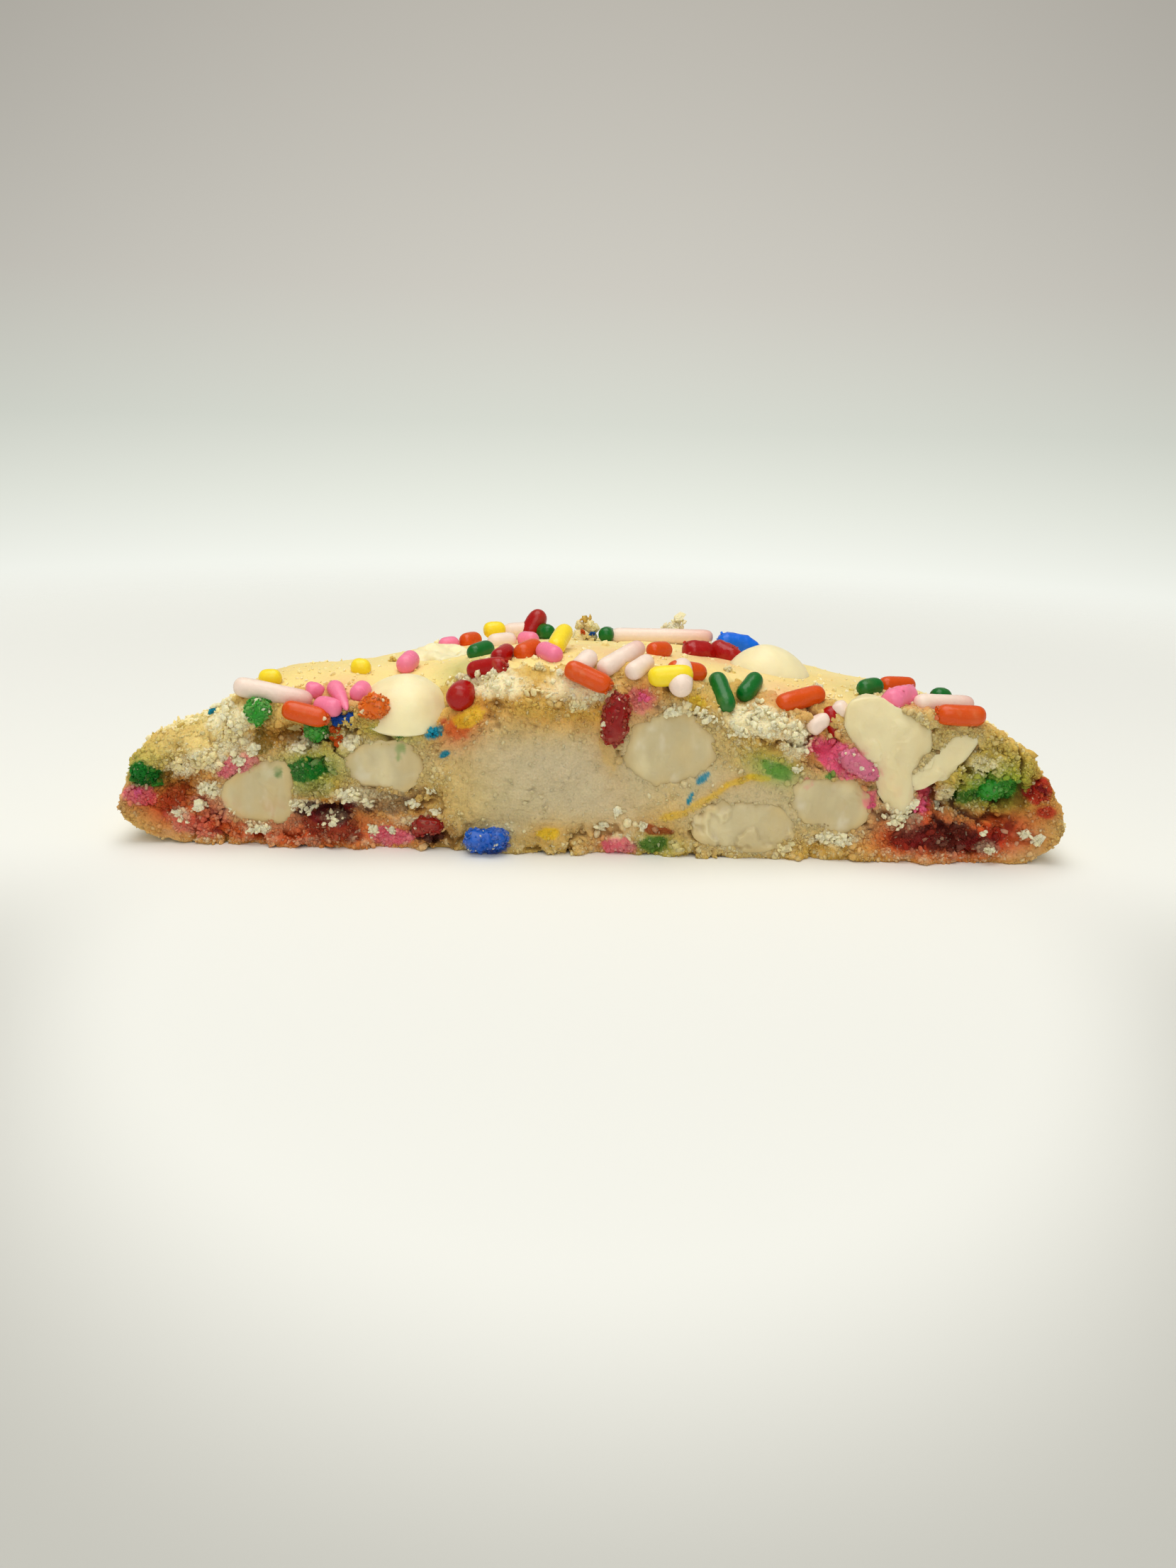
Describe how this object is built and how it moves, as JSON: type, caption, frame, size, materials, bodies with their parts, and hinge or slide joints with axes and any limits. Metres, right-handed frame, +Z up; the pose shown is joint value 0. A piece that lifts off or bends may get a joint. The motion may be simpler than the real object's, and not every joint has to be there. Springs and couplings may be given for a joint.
{
  "type": "sprinkle cookie half",
  "caption": "Half of a thick soft round cookie broken across the middle, with sprinkles and white chocolate chips on top and in the crumb.",
  "frame": {"origin": "middle of the box's underside, on the flat base that the half rests on", "axes": "+X along the broken face, to the right as one looks at it; +Y away from the broken face into the cookie; +Z up through the top"},
  "size_m": [0.09, 0.0464, 0.021],
  "materials": {
    "dough": "soft baked crust, satin and uneven",
    "chips": "waxy satin",
    "sprinkles": "glossy sugar glaze, in several colours"
  },
  "bodies": {
    "root": {"cookie": "dough", "chip_cut_far_left": "chips", "chip_cut_left": "chips", "chip_cut_centre": "chips", "chip_cut_low": "chips", "chip_cut_right": "chips", "chip_cut_slab": "chips", "chip_edge_right": "chips", "chip_top_left": "chips", "chip_top_left_back": "chips", "chip_top_right": "chips", "chip_back_left": "chips", "chip_back_middle": "chips", "chip_back_right": "chips", "chip_back_far_right": "chips"}
  },
  "joints": []
}
